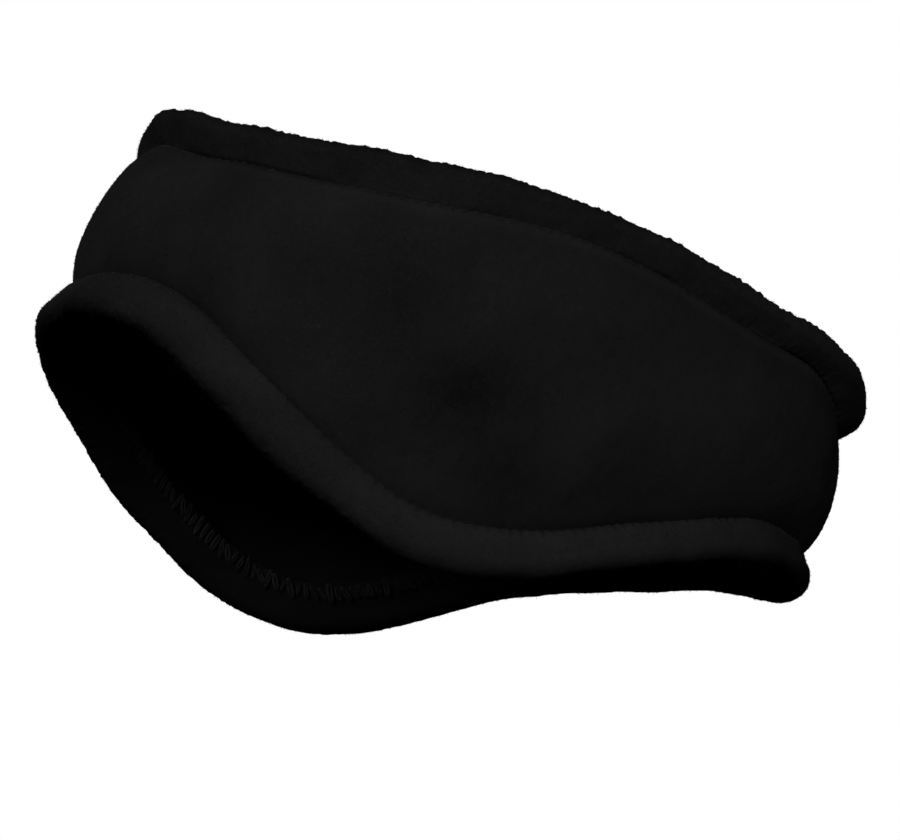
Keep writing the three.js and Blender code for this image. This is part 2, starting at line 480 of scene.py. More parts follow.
def seam_axes(angle, side):
    """At a seam: its points, the directions out of the wall and the directions past the seam."""
    height = seam_height(angle, side)
    zero = 0 * angle

    def seam_point(at):
        return wall_point(at, seam_height(at, side), zero)

    run = seam_point(angle + SMALL_ANGLE) - seam_point(angle - SMALL_ANGLE)
    rise = wall_point(angle, height + 1, zero) - wall_point(angle, height - 1, zero)
    out = unit(np.cross(run, rise))
    past = unit(np.cross(out, run)) * side.up
    return wall_point(angle, height, zero), out, past


def seam_share(side):
    """How far along the seam each station is, from 0 to 1, and the seam's length."""
    points = seam_axes(STATION_ANGLES, side)[0]
    steps = np.linalg.norm(np.roll(points, -1, 0) - points, axis=-1)
    return (np.cumsum(steps) - steps) / steps.sum(), steps.sum()


def stitch_count(side, sizes):
    """A whole number of stitches round a seam."""
    return round(seam_share(side)[1] * MM / sizes.stitch_pitch)


def waves(points, pattern, seed):
    """A smooth uneven value at each point: many plane waves in random directions."""
    strength, shortest, longest, count = pattern
    rng = np.random.default_rng(seed)
    total = np.zeros(points.shape[:-1])
    for _ in range(count):
        way = unit(rng.normal(size=3))
        length = rng.uniform(shortest, longest)
        total += np.sin(points @ way * (2 * math.pi / length) + rng.uniform(0, 2 * math.pi))
    return strength * (total / math.sqrt(2 * count))


def stitch_wave(side, sizes):
    """The rise and fall of the cloth from stitch to stitch along a seam, not quite even."""
    points = seam_axes(STATION_ANGLES, side)[0]
    share, _ = seam_share(side)
    depth = 1 + waves(points, STITCH_DEPTH_WAVES, 61)
    shift = waves(points, STITCH_SHIFT_WAVES, 62)
    return (depth * np.cos(2 * math.pi * stitch_count(side, sizes) * share + shift))[:, None]


def dent_depth(angle, share, span, dents):
    """How deep a set of dents is at each place of the panel."""
    radius = np.linalg.norm(plan(angle), axis=-1)
    turned_from_front = np.abs(np.arctan2(np.sin(angle), np.cos(angle)))
    depth = 0 * share * angle
    for around, height, length, width, turned, deep in dents:
        back = (turned_from_front - math.radians(around)) * radius
        up = (share - height) * span
        c = math.cos(math.radians(turned))
        s = math.sin(math.radians(turned))
        lengthways = (back * c + up * s) / length
        widthways = (up * c - back * s) / width
        depth = depth + deep * np.exp(-lengthways ** 2 - widthways ** 2)
    return depth


def grid_normals(grid):
    """Normals of a tube's grid of points, stations by rows."""
    run = np.roll(grid, -1, 0) - np.roll(grid, 1, 0)
    rise = np.roll(grid, -1, 1) - np.roll(grid, 1, 1)
    return unit(np.cross(run, rise))


def eased(start, stop, count):
    """Shares from start to stop, closer together near both ends."""
    t = np.linspace(0, 1, count)
    return start + (stop - start) * (t - ROW_EASE * np.sin(2 * math.pi * t) / (2 * math.pi))


def roughen(grid, shown, frayed, sizes, seed):
    """Moves a cloth grid along its normals by soft waves, small clumps and, where frayed, finer clumps."""
    soft = waves(grid, SOFT_WAVES, seed) + waves(grid, SMALL_WAVES, seed + 1)
    clumps = waves(grid, CLUMP_WAVES, seed + 2)
    height = soft * sizes.wave_depth / MM + clumps * sizes.clump_depth / MM
    height = height + waves(grid, FRAY_WAVES, seed + 3) * frayed * sizes.fray_depth / MM
    return grid + grid_normals(grid) * (height * shown)[..., None]


# The cloth pieces

def ring_object(name, grid, shown, tone_and_painted_shading):
    """A closed tube all round the head from a grid of points in millimetres, with its shown mask and its
    uneven tone with painted shading.
    """
    stations, rows = grid.shape[:2]
    station, row = np.meshgrid(np.arange(stations), np.arange(rows), indexing="ij")
    ahead = (station + 1) % stations
    above = (row + 1) % rows
    corners = ((station, row), (ahead, row), (ahead, above), (station, above))
    faces = np.stack([place * rows + level for place, level in corners], -1)
    mesh = bpy.data.meshes.new(name)
    mesh.vertices.add(stations * rows)
    mesh.vertices.foreach_set("co", (grid.reshape(-1) * MM).astype(np.float32))
    mesh.loops.add(faces.size)
    mesh.loops.foreach_set("vertex_index", faces.reshape(-1).astype(np.int32))
    mesh.polygons.add(faces.size // 4)
    mesh.polygons.foreach_set("loop_start", np.arange(0, faces.size, 4, dtype=np.int32))
    mesh.polygons.foreach_set("use_smooth", np.ones(faces.size // 4, bool))
    mesh.update(calc_edges=True)
    for label, values in (("shown", shown), ("tone_and_painted_shading", tone_and_painted_shading)):
        attribute = mesh.attributes.new(label, "FLOAT", "POINT")
        attribute.data.foreach_set("value", values.reshape(-1).astype(np.float32))
    return linked(name, mesh)


def linked(name, data):
    """A new object in the scene."""
    thing = bpy.data.objects.new(name, data)
    bpy.context.scene.collection.objects.link(thing)
    return thing


def panel_grid(sizes):
    """The panel's grid of points, up its outer face and down its inner face, its shown mask and its uneven
    tone with painted shading.
    """
    angle = STATION_ANGLES[:, None]
    low = seam_height(angle, BOTTOM)
    span = seam_height(angle, TOP) - low
    phases = {side.edge: stitch_wave(side, sizes) for side in (TOP, BOTTOM)}
    parts = []
    masks = []

    def face(share, inside):
        above_low = share * span
        below_top = (1 - share) * span
        crown = BULGE * (1 - np.abs(2 * share - 1) ** BULGE_POWER)
        edge = np.exp(-above_low / GROOVE_REACH) + np.exp(-below_top / GROOVE_REACH)
        dents = dent_depth(angle, share, span, DENTS + CREASES)
        out = crown - GROOVE * edge - dents * np.sin(math.pi * share)
        out = out + WELT * np.exp(-((below_top - WELT_PLACE) / WELT_WIDTH) ** 2)
        near_top = phases["top"] * np.exp(-below_top / PUCKER_REACH)
        near_low = phases["bottom"] * np.exp(-above_low / PUCKER_REACH)
        pulled = TOP.pucker * near_top + BOTTOM.pucker * near_low
        out = out - pulled * (1 - np.exp(-above_low * below_top / span))
        if inside:
            taper = np.exp(-above_low / WALL_TAPER) + np.exp(-below_top / WALL_TAPER)
            out = out - PANEL_WALL + (PANEL_WALL - TUCKED_WALL) * taper
        return wall_point(angle + 0 * share, low + above_low + SCALLOP * (near_top + near_low), out)

    def tucked(side, reaches, inwards):
        reach = np.array(reaches)[None, :] * edge_stretch(angle, side)
        height = seam_height(angle, side) + side.up * reach + SCALLOP * phases[side.edge]
        return wall_point(angle + 0 * height, height, -GROOVE - inwards + 0 * height)

    def faded(share):
        return np.sin(math.pi * np.clip(share[0], 0, 1)) ** PANEL_FADE_POWER

    def keep(points, mask):
        parts.append(points)
        masks.append(mask + np.zeros(points.shape[1]))

    outside = eased(0, 1, OUTSIDE_ROWS)[None, :]
    inside = eased(1, 0, INSIDE_ROWS)[None, :]
    keep(tucked(BOTTOM, OUTER_TUCK, 0), 0)
    keep(face(outside, False), faded(outside))
    keep(tucked(TOP, OUTER_TUCK[::-1], 0), 0)
    keep(tucked(TOP, INNER_TUCK, TUCKED_WALL), 0)
    keep(face(inside, True), INSIDE_SHOWN * faded(inside))
    keep(tucked(BOTTOM, INNER_TUCK[::-1], TUCKED_WALL), 0)
    grid = np.concatenate(parts, 1)
    shown = np.repeat(np.concatenate(masks)[None, :], STATIONS, 0)
    # Painted highlight: the colour of the raised strip under the top seam is made lighter
    painted_welt_highlight = between(angle, WELT_PAINTED_HIGHLIGHT) * np.exp(-(((1 - outside) * span - WELT_PLACE) / WELT_WIDTH) ** 2)
    tone_and_painted_shading = waves(grid, PANEL_NAP_WAVES, 91)
    # Painted shade and painted light: the marks darken the colour in and near the dents and lighten it by
    # the raised creases
    tone_and_painted_shading[:, len(OUTER_TUCK):PANEL_TOP_ROW + 1] += dent_depth(angle, outside, span, PAINTED_SHADING_MARKS) - painted_welt_highlight
    return grid, shown, tone_and_painted_shading


def hem_outline(side, height, flare):
    """A hem's outline: distances out of the wall and past the seam, and the shown mask."""
    radius = side.radius
    to_fold = flare - radius - side.lip
    to_crest = height - radius - LIP_RISE
    reach = np.hypot(to_fold, to_crest)
    slope = np.arctan2(to_crest, to_fold) - np.arcsin(radius / reach)
    face = np.sqrt(reach ** 2 - radius ** 2)
    slot_out = -GROOVE + LIP_GAP
    slot_in = -GROOVE - TUCKED_WALL - LIP_GAP
    leg_end = LEG_TIP - INNER_LEG_REACH
    zero = 0 * height
    points = []

    def keep(out, past, mask):
        points.append((out + zero, past + zero, mask))

    for share in np.linspace(0, 1, OUTER_LEG_ROWS, endpoint=False):
        full = side.swell * math.sin(math.pi * share ** side.early)
        out = side.lip + face * share * np.cos(slope) + full * np.sin(slope)
        past = LIP_RISE + face * share * np.sin(slope) - full * np.cos(slope)
        keep(out, past, min(1, share * HEM_FADE_RATE))
    for share in np.linspace(0, 1, FOLD_ROWS):
        turn = (slope - math.pi / 2) * (1 - share) + math.pi * share
        keep(flare - radius + radius * np.cos(turn), height - radius + radius * np.sin(turn), 1)
    start_out = flare - 2 * radius
    start_past = height - radius
    for share in np.linspace(0, 1, INNER_LEG_ROWS + 1)[1:]:
        smooth = share * share * (3 - 2 * share)
        out = start_out + (slot_in - INNER_LEG - start_out) * smooth
        keep(out, start_past + (leg_end - start_past) * share, 1)
    for turn in np.linspace(0, math.pi, TIP_ROWS + 2)[1:-1]:
        out = slot_in - INNER_LEG / 2 - INNER_LEG / 2 * math.cos(turn)
        keep(out, leg_end - LEG_TIP * math.sin(turn), TIP_SHOWN)
    for past in np.linspace(leg_end, TUCK + LIP_GAP, SLOT_ROWS):
        keep(slot_in, past, 0)
    for past in np.linspace(TUCK + LIP_GAP, 2 * LIP_RISE, SLOT_ROWS):
        keep(slot_out, past, 0)
    for share in LIP_SHARES:
        keep(slot_out + share * (side.lip - slot_out), LIP_SUNK, 0)
    out, past, mask = zip(*points)
    return np.stack(out, 1), np.stack(past, 1), np.array(mask)


def hem_grid(side, sizes, seed):
    """A hem's grid of points round its section, its shown mask, its uneven tone with painted shading and how
    frayed it is.
    """
    angle = STATION_ANGLES
    origin, out_axis, past_axis = seam_axes(angle, side)
    height = along(angle, side.hem) + waves(origin, HEM_HEIGHT_WAVES, seed + 7)
    flare = along(angle, side.flare) + waves(origin, HEM_FLARE_WAVES, seed + 8)
    out, past, mask = hem_outline(side, height, flare)
    phase = stitch_wave(side, sizes)
    near = np.exp(-np.clip(past, 0, None) / PUCKER_REACH)
    out = out - side.pucker * phase * near * (mask > 0)[None, :] * (out > -GROOVE)
    past = past + side.up * SCALLOP * phase * near
    grid = origin[:, None] + out_axis[:, None] * out[..., None] + past_axis[:, None] * past[..., None]
    shown = np.repeat(mask[None, :], STATIONS, 0)
    towards_fold = np.clip(past / height[:, None], 0, 1)
    # Painted shade and painted light: the hem's colour is darkened by angle round the head, lightened where
    # a share is below 0, and darkened more towards the fold
    tone_and_painted_shading = between(angle, side.painted_shading_by_angle)[:, None] + side.painted_fold_shade * towards_fold ** 2
    tone_and_painted_shading = tone_and_painted_shading + waves(grid, HEM_NAP_WAVES, seed + 9)
    frayed = between(angle, side.frayed)[:, None] * towards_fold ** 4
    fields = (grid, shown, tone_and_painted_shading, frayed)
    if side.up > 0:
        return fields
    return tuple(values[:, ::-1] for values in fields)


# Node trees

def add(tree, kind, inputs=None, **settings):
    """A node with its settings and the values of its inputs."""
    node = tree.nodes.new(kind)
    for name, value in settings.items():
        setattr(node, name, value)
    for name, value in (inputs or {}).items():
        if isinstance(value, bpy.types.NodeSocket):
            tree.links.new(value, node.inputs[name])
        else:
            node.inputs[name].default_value = value
    return node


def calc(tree, operation, *values):
    """The result of a math node."""
    return add(tree, "ShaderNodeMath", dict(enumerate(values)), operation=operation).outputs[0]


def add_sockets(tree, in_out, sockets):
    """Gives a node group its named inputs or outputs."""
    for label, kind in sockets.items():
        tree.interface.new_socket(label, in_out=in_out, socket_type="NodeSocket" + kind)


def new_geometry_tree(name, sockets):
    """A geometry node group with named inputs, its input node and its output node."""
    tree = bpy.data.node_groups.new(name, "GeometryNodeTree")
    add_sockets(tree, "INPUT", {"Geometry": "Geometry", **sockets, "Seed": "Int", "Material": "Material"})
    add_sockets(tree, "OUTPUT", {"Geometry": "Geometry"})
    return tree, tree.nodes.new("NodeGroupInput"), tree.nodes.new("NodeGroupOutput")


def random_between(tree, source, seed_step, least, most, kind="FLOAT"):
    """A random number, or with the kind FLOAT_VECTOR a random vector, between two values."""
    first, result = (2, 1) if kind == "FLOAT" else (0, 0)
    seed = add(tree, "FunctionNodeIntegerMath", {0: source.outputs["Seed"], 1: seed_step}, operation="ADD")
    inputs = {"Seed": seed.outputs[0], first: least, first + 1: most}
    return add(tree, "FunctionNodeRandomValue", inputs, data_type=kind).outputs[result]


def scatter(tree, source, output, points, shape, rotation, least, most):
    """Ends a tree: a shape on every point, of a random size, made real and with its material."""
    scale = random_between(tree, source, SCALE_SEED_STEP, least, most, "FLOAT_VECTOR")
    instances = add(tree, "GeometryNodeInstanceOnPoints", {
        "Points": points, "Instance": shape.outputs[0], "Rotation": rotation, "Scale": scale})
    real = add(tree, "GeometryNodeRealizeInstances", {"Geometry": instances.outputs[0]})
    painted = add(tree, "GeometryNodeSetMaterial", {
        "Geometry": real.outputs[0], "Material": source.outputs["Material"]})
    tree.links.new(painted.outputs[0], output.inputs[0])


def turned(tree, rotation, **angles):
    """A rotation turned by angles about its own axes."""
    euler = add(tree, "ShaderNodeCombineXYZ", angles)
    turn = add(tree, "FunctionNodeEulerToRotation", {"Euler": euler.outputs[0]})
    inputs = {"Rotation": rotation, "Rotate By": turn.outputs[0]}
    return add(tree, "FunctionNodeRotateRotation", inputs, rotation_space="LOCAL").outputs[0]


def sew(tree, source, output, path, least, most):
    """Ends a stitch tree: the path made a thread, at even steps along the guide, slanted at random."""
    curve = add(tree, "GeometryNodeMeshToCurve", {"Mesh": source.outputs["Geometry"]})
    spaced = add(tree, "GeometryNodeResampleCurve", {
        "Curve": curve.outputs[0], "Count": source.outputs["Count"]})
    out = add(tree, "GeometryNodeInputNamedAttribute", {"Name": "out"}, data_type="FLOAT_VECTOR")
    tangent = add(tree, "GeometryNodeInputTangent")
    axes = {"Primary Axis": out.outputs[0], "Secondary Axis": tangent.outputs[0]}
    facing = add(tree, "FunctionNodeAxesToRotation", axes, primary_axis="Z", secondary_axis="X")
    slant = source.outputs["Slant"]
    angle = random_between(tree, source, 0, calc(tree, "MULTIPLY", slant, -1.0), slant)
    ring = add(tree, "GeometryNodeCurvePrimitiveCircle", {
        "Resolution": THREAD_SIDES, "Radius": source.outputs["Thread Radius"]})
    thread = add(tree, "GeometryNodeCurveToMesh", {
        "Curve": path, "Profile Curve": ring.outputs[0], "Fill Caps": True})
    rotation = turned(tree, facing.outputs[0], Z=angle)
    scatter(tree, source, output, spaced.outputs[0], thread, rotation, least, most)


def bar_stitch_tree():
    """Short bars of thread across a seam, sunk at both ends."""
    tree, source, output = new_geometry_tree("Bar stitches", {
        "Count": "Int", "Length": "Float", "Thread Radius": "Float", "Rise": "Float", "Slant": "Float"})
    half = calc(tree, "MULTIPLY", source.outputs["Length"], 0.5)
    other = calc(tree, "MULTIPLY", source.outputs["Length"], -0.5)
    sunk = calc(tree, "MULTIPLY", source.outputs["Rise"], -BAR_SUNK)
    start = add(tree, "ShaderNodeCombineXYZ", {"Y": other, "Z": sunk})
    crest = add(tree, "ShaderNodeCombineXYZ", {"Z": source.outputs["Rise"]})
    end = add(tree, "ShaderNodeCombineXYZ", {"Y": half, "Z": sunk})
    path = add(tree, "GeometryNodeCurveQuadraticBezier", {
        "Resolution": 7, "Start": start.outputs[0], "Middle": crest.outputs[0], "End": end.outputs[0]})
    sew(tree, source, output, path.outputs[0], least=(0.8, 0.45, 0.6), most=(1.25, 1.25, 1.25))
    return tree


def loop_stitch_tree():
    """Leaning oval loops of thread that overlap along a seam."""
    tree, source, output = new_geometry_tree("Loop stitches", {
        "Count": "Int", "Width": "Float", "Loop Length": "Float", "Thread Radius": "Float",
        "Lean": "Float", "Slant": "Float"})
    circle = add(tree, "GeometryNodeCurvePrimitiveCircle", {"Resolution": 16, "Radius": 0.5})
    scale = add(tree, "ShaderNodeCombineXYZ", {
        "X": source.outputs["Loop Length"], "Y": source.outputs["Width"], "Z": 1.0})
    lean = add(tree, "ShaderNodeCombineXYZ", {"Z": source.outputs["Lean"]})
    oval = add(tree, "GeometryNodeTransform", {"Geometry": circle.outputs[0], "Scale": scale.outputs[0]})
    path = add(tree, "GeometryNodeTransform", {"Geometry": oval.outputs[0], "Rotation": lean.outputs[0]})
    sew(tree, source, output, path.outputs[0], least=(0.7, 0.6, 0.9), most=(1.6, 1.1, 1.1))
    return tree


def pile_tree():
    """Fine pointed tufts that lie on the cloth in all directions."""
    tree, source, output = new_geometry_tree("Fleece pile", {
        "Density": "Float", "Length": "Float", "Width": "Float",
        "Least Lean": "Float", "Most Lean": "Float"})
    shown = add(tree, "GeometryNodeInputNamedAttribute", {"Name": "shown"}, data_type="FLOAT")
    density = calc(tree, "MULTIPLY", shown.outputs[0], source.outputs["Density"])
    spread = add(tree, "GeometryNodeDistributePointsOnFaces", {
        "Mesh": source.outputs["Geometry"], "Density": density, "Seed": source.outputs["Seed"]})
    lean = random_between(tree, source, 0, source.outputs["Least Lean"], source.outputs["Most Lean"])
    spin = random_between(tree, source, 1, 0.0, 2 * math.pi)
    rotation = turned(tree, spread.outputs["Rotation"], X=lean, Z=spin)
    tuft = add(tree, "GeometryNodeMeshCone", {
        "Vertices": 3, "Radius Top": 0.0, "Radius Bottom": source.outputs["Width"],
        "Depth": source.outputs["Length"]})
    scatter(tree, source, output, spread.outputs["Points"], tuft, rotation,
            least=(0.7, 0.7, 0.6), most=(1.2, 1.2, 1.3))
    return tree


def grow(name, carrier, tree, values):
    """Runs a tree on a carrier object and returns the result as a plain mesh object."""
    modifier = carrier.modifiers.new(name, "NODES")
    modifier.node_group = tree
    for item in tree.interface.items_tree:
        if item.in_out == "INPUT" and item.name in values:
            modifier[item.identifier] = values[item.name]
    carrier.update_tag()
    bpy.context.view_layer.update()
    depsgraph = bpy.context.evaluated_depsgraph_get()
    mesh = bpy.data.meshes.new_from_object(carrier.evaluated_get(depsgraph), depsgraph=depsgraph)
    carrier.modifiers.remove(modifier)
    mesh.name = name
    for attribute in [a.name for a in mesh.attributes if a.name in ("out", "shown")]:
        mesh.attributes.remove(mesh.attributes[attribute])
    mesh.polygons.foreach_set("use_smooth", np.ones(len(mesh.polygons), bool))
    return linked(name, mesh)


# Lines of stitches

def made(name):
    """A piece that an earlier operator made."""
    if name not in bpy.data.objects:
        raise RuntimeError(f"{name} is made first")
    return bpy.data.objects[name]


def cloth_line(cloth, first_row, step, distance):
    """A line round a made cloth piece, a distance from one of its rows, in metres: points and normals."""
    mesh = made(cloth).data
    points = np.empty(len(mesh.vertices) * 3, np.float32)
    mesh.vertices.foreach_get("co", points)
    grid = points.reshape(STATIONS, -1, 3).astype(float)
    normals = grid_normals(grid)
    rows = np.arange(first_row, first_row + step * LINE_ROWS, step)
    path = grid[:, rows]
    travelled = np.linalg.norm(path[:, 1:] - path[:, :-1], axis=-1).cumsum(1)
    ahead = np.argmax(travelled > distance, axis=1)
    station = np.arange(STATIONS)
    before = np.where(ahead > 0, travelled[station, np.maximum(ahead - 1, 0)], 0)
    f = ((distance - before) / (travelled[station, ahead] - before))[:, None]
    line = path[station, ahead] * (1 - f) + path[station, ahead + 1] * f
    return line, unit(normals[station, rows[ahead]])


def seam_guide(line, lift):
    """A closed line of edges along a cloth line, lifted off it, each point with the cloth's normal."""
    points, normals = line
    count = len(points)
    mesh = bpy.data.meshes.new("seam_guide")
    mesh.from_pydata((points + normals * lift).tolist(), [(i, (i + 1) % count) for i in range(count)], [])
    out = mesh.attributes.new("out", "FLOAT_VECTOR", "POINT")
    out.data.foreach_set("vector", normals.reshape(-1).astype(np.float32))
    return linked("seam_guide", mesh)


def declare(piece, replaced=None):
    """Hangs a piece on the body that carries it, and hides the solid that it stands for."""
    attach(piece, BODY)
    if replaced:
        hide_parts(replaced)


def stitch_line(name, line, lift, tree, values):
    """Makes one piece of stitches along a cloth line."""
    guide = seam_guide(line, lift)
    piece = grow(name, guide, tree, values)
    bpy.data.objects.remove(guide)
    declare(piece)


# Materials

def fleece_group():
    """Shader group with the fleece's uneven colour, darkened and lightened by painted shading, its roughness
    and small relief.
    """
    name = "Fleece surface"
    if name in bpy.data.node_groups:
        return bpy.data.node_groups[name]
    tree = bpy.data.node_groups.new(name, "ShaderNodeTree")
    add_sockets(tree, "INPUT", {
        "Color": "Color", "Clump Size": "Float", "Unevenness": "Float", "Tone And Painted Shading": "Float"})
    add_sockets(tree, "OUTPUT", {"Color": "Color", "Roughness": "Float", "Height": "Float"})
    source = tree.nodes.new("NodeGroupInput")
    output = tree.nodes.new("NodeGroupOutput")
    place = add(tree, "ShaderNodeTexCoord").outputs["Object"]

    def noise(scale, detail, roughness=0.5):
        inputs = {"Vector": place, "Scale": scale, "Detail": detail, "Roughness": roughness}
        return add(tree, "ShaderNodeTexNoise", inputs).outputs[0]

    clump_scale = calc(tree, "DIVIDE", 1.0, source.outputs["Clump Size"])
    fibre_scale = calc(tree, "MULTIPLY", clump_scale, FIBRE_FINENESS)
    patches = noise(PATCH_SCALE, 3.0)
    clumps = noise(clump_scale, 4.0, 0.6)
    fibres = noise(fibre_scale, 3.0, 0.7)
    flecks = noise(fibre_scale, 1.0)
    patched = calc(tree, "MULTIPLY_ADD", patches, PATCH_PART, clumps)
    summed = calc(tree, "MULTIPLY_ADD", fibres, FIBRE_PART, patched)
    centred = calc(tree, "SUBTRACT", summed, (1 + PATCH_PART + FIBRE_PART) / 2)
    uneven = calc(tree, "MULTIPLY", centred, source.outputs["Unevenness"])
    fleck_mask = add(tree, "ShaderNodeMapRange", {
        "Value": flecks, "From Min": FLECK_START, "From Max": FLECK_FULL}).outputs[0]
    flecked = calc(tree, "MULTIPLY_ADD", fleck_mask, FLECK_LIFT, 1.0)
    bright = calc(tree, "MULTIPLY_ADD", uneven, CONTRAST, flecked)
    # Painted shading: the attribute's painted shade darkens the colour, and its painted light lightens it
    with_painted_shading = calc(tree, "SUBTRACT", bright, source.outputs["Tone And Painted Shading"])
    kept = calc(tree, "MAXIMUM", with_painted_shading, LEAST_LIGHT)
    tinted = {0: source.outputs["Color"], "Scale": kept}
    colour = add(tree, "ShaderNodeVectorMath", tinted, operation="SCALE")
    rough = add(tree, "ShaderNodeMapRange", {"Value": clumps, "To Min": LEAST_ROUGHNESS, "To Max": 1.0})
    height = calc(tree, "MULTIPLY_ADD", fibres, FIBRE_RELIEF, clumps)
    tree.links.new(colour.outputs[0], output.inputs["Color"])
    tree.links.new(rough.outputs[0], output.inputs["Roughness"])
    tree.links.new(height, output.inputs["Height"])
    return tree


def new_material(name):
    """A new material, its tree and its shader."""
    material = bpy.data.materials.new(name)
    material.use_nodes = True
    return material, material.node_tree, material.node_tree.nodes["Principled BSDF"]


def fleece_surface(tree, shader, colour, clump_size, unevenness, strength, relief):
    """Puts the fleece group before a shader, with its colour and its relief, and returns its node."""
    surface = add(tree, "ShaderNodeGroup", {
        "Color": (*colour, 1), "Clump Size": clump_size, "Unevenness": unevenness}, node_tree=fleece_group())
    bump = add(tree, "ShaderNodeBump", {
        "Strength": strength, "Distance": relief, "Height": surface.outputs["Height"]})
    tree.links.new(surface.outputs["Color"], shader.inputs["Base Color"])
    tree.links.new(bump.outputs[0], shader.inputs["Normal"])
    return surface


def fleece_material(name, colour, clump_size):
    """Matt fleece, so dark that any gloss would outshine it where it turns away."""
    material, tree, shader = new_material(name)
    surface = fleece_surface(
        tree, shader, colour, clump_size, FLEECE_UNEVENNESS, strength=0.7, relief=FLEECE_RELIEF)
    # The attribute carries uneven tone together with painted shade and painted light
    tone_and_painted_shading = add(tree, "ShaderNodeAttribute", attribute_name="tone_and_painted_shading")
    tree.links.new(tone_and_painted_shading.outputs["Fac"], surface.inputs["Tone And Painted Shading"])
    tree.links.new(surface.outputs["Roughness"], shader.inputs["Roughness"])
    shader.inputs["Specular IOR Level"].default_value = 0
    return material


def thread_material(name, colour, unevenness):
    """Sewing thread: a little glossier than the fleece."""
    material, tree, shader = new_material(name)
    fleece_surface(tree, shader, colour, THREAD_CLUMP, unevenness, strength=0.5, relief=THREAD_RELIEF)
    shader.inputs["Roughness"].default_value = 0.55
    shader.inputs["Specular IOR Level"].default_value = 0.01
    return material


def floor_material(colour):
    """A pale matt floor that doesn't show from below."""
    material, tree, shader = new_material("Pale floor")
    shader.inputs["Base Color"].default_value = (*colour, 1)
    shader.inputs["Roughness"].default_value = 0.9
    shader.inputs["Specular IOR Level"].default_value = 0.1
    shader.inputs["Emission Color"].default_value = (1, 1, 1, 1)
    shader.inputs["Emission Strength"].default_value = 0.6
    below = add(tree, "ShaderNodeNewGeometry").outputs["Backfacing"]
    clear = add(tree, "ShaderNodeBsdfTransparent")
    mixed = add(tree, "ShaderNodeMixShader", {0: below, 1: shader.outputs[0], 2: clear.outputs[0]})
    tree.links.new(mixed.outputs[0], tree.nodes["Material Output"].inputs["Surface"])
    return material


# Operators

def direction(azimuth, elevation):
    """The way from the middle to a place seen at these degrees: azimuth 0 is in front, 90 on the left."""
    turn = math.radians(azimuth)
    raised = math.radians(elevation)
    return Vector((math.sin(turn) * math.cos(raised), -math.cos(turn) * math.cos(raised), math.sin(raised)))


class HEADBAND_OT_stage(bpy.types.Operator):
    """Make the floor, the lights and the camera"""

    bl_idname = "headband.stage"
    bl_label = "Stage"

    def execute(self, context):
        scene = context.scene
        scene.view_settings.view_transform = "Standard"
        self.add_floor(context)
        for light in LIGHTS:
            self.add_light(*light)
        self.add_world(scene)
        self.add_camera(scene)
        return {"FINISHED"}

    def add_floor(self, context):
        bpy.ops.mesh.primitive_circle_add(
            vertices=64, radius=FLOOR_RADIUS, fill_type="NGON", location=(0, 0, CAD_LOW.z - FLOOR_DROP))
        floor = context.object
        floor.name = "floor"
        floor.data.materials.append(floor_material(context.scene.headband_colours.floor))
        floor.visible_diffuse = False
        floor.visible_glossy = False
        floor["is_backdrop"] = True

    def add_light(self, name, azimuth, elevation, size, power):
        place = direction(azimuth, elevation) * LIGHT_DISTANCE
        light = bpy.data.lights.new(name, "AREA")
        light.shape = "DISK"
        light.size = size
        light.energy = power
        lamp = linked(name, light)
        lamp.location = place
        lamp.visible_camera = False
        lamp.rotation_euler = place.to_track_quat("Z", "Y").to_euler()

    def add_world(self, scene):
        world = bpy.data.worlds.new("studio")
        world.use_nodes = True
        tree = world.node_tree
        tree.nodes.clear()
        seen = add(tree, "ShaderNodeBackground", {"Color": (1, 1, 1, 1), "Strength": 1.0})
        soft = add(tree, "ShaderNodeBackground", {"Color": (1, 1, 1, 1), "Strength": ROUND_LIGHT})
        by_camera = add(tree, "ShaderNodeLightPath").outputs["Is Camera Ray"]
        mixed = add(tree, "ShaderNodeMixShader", {0: by_camera, 1: soft.outputs[0], 2: seen.outputs[0]})
        end = add(tree, "ShaderNodeOutputWorld", {"Surface": mixed.outputs[0]})
        end.is_active_output = True
        scene.world = world

    def add_camera(self, scene):
        back = direction(VIEW_AZIMUTH, VIEW_ELEVATION)
        level = direction(VIEW_AZIMUTH + 90, 0)
        roll = math.radians(VIEW_ROLL)
        upright = back.cross(level)
        right = level * math.cos(roll) + upright * math.sin(roll)
        up = upright * math.cos(roll) - level * math.sin(roll)
        place = back * VIEW_DISTANCE
        back = (place - right * AIM_RIGHT - up * AIM_UP).normalized()
        right = (right - back * right.dot(back)).normalized()
        up = back.cross(right)
        data = bpy.data.cameras.new("photo_camera")
        data.sensor_width = SENSOR
        data.lens = LENS
        camera = linked("photo_camera", data)
        camera.matrix_world = Matrix((
            (right.x, up.x, back.x, place.x),
            (right.y, up.y, back.y, place.y),
            (right.z, up.z, back.z, place.z),
            (0, 0, 0, 1)))
        scene.camera = camera


class HEADBAND_OT_panel(bpy.types.Operator):
    """Make the fleece panel that goes all round the head"""

    bl_idname = "headband.panel"
    bl_label = "Panel"

    def execute(self, context):
        sizes = context.scene.headband_sizes
        grid, shown, tone_and_painted_shading = panel_grid(sizes)
        rough = roughen(grid, shown, PANEL_FRAY, sizes, seed=11)
        piece = ring_object("panel_cloth", rough, shown, tone_and_painted_shading)
        piece.data.materials.append(
            fleece_material("Panel fleece", context.scene.headband_colours.panel, PANEL_CLUMP))
        declare(piece, "band_panel")
        return {"FINISHED"}


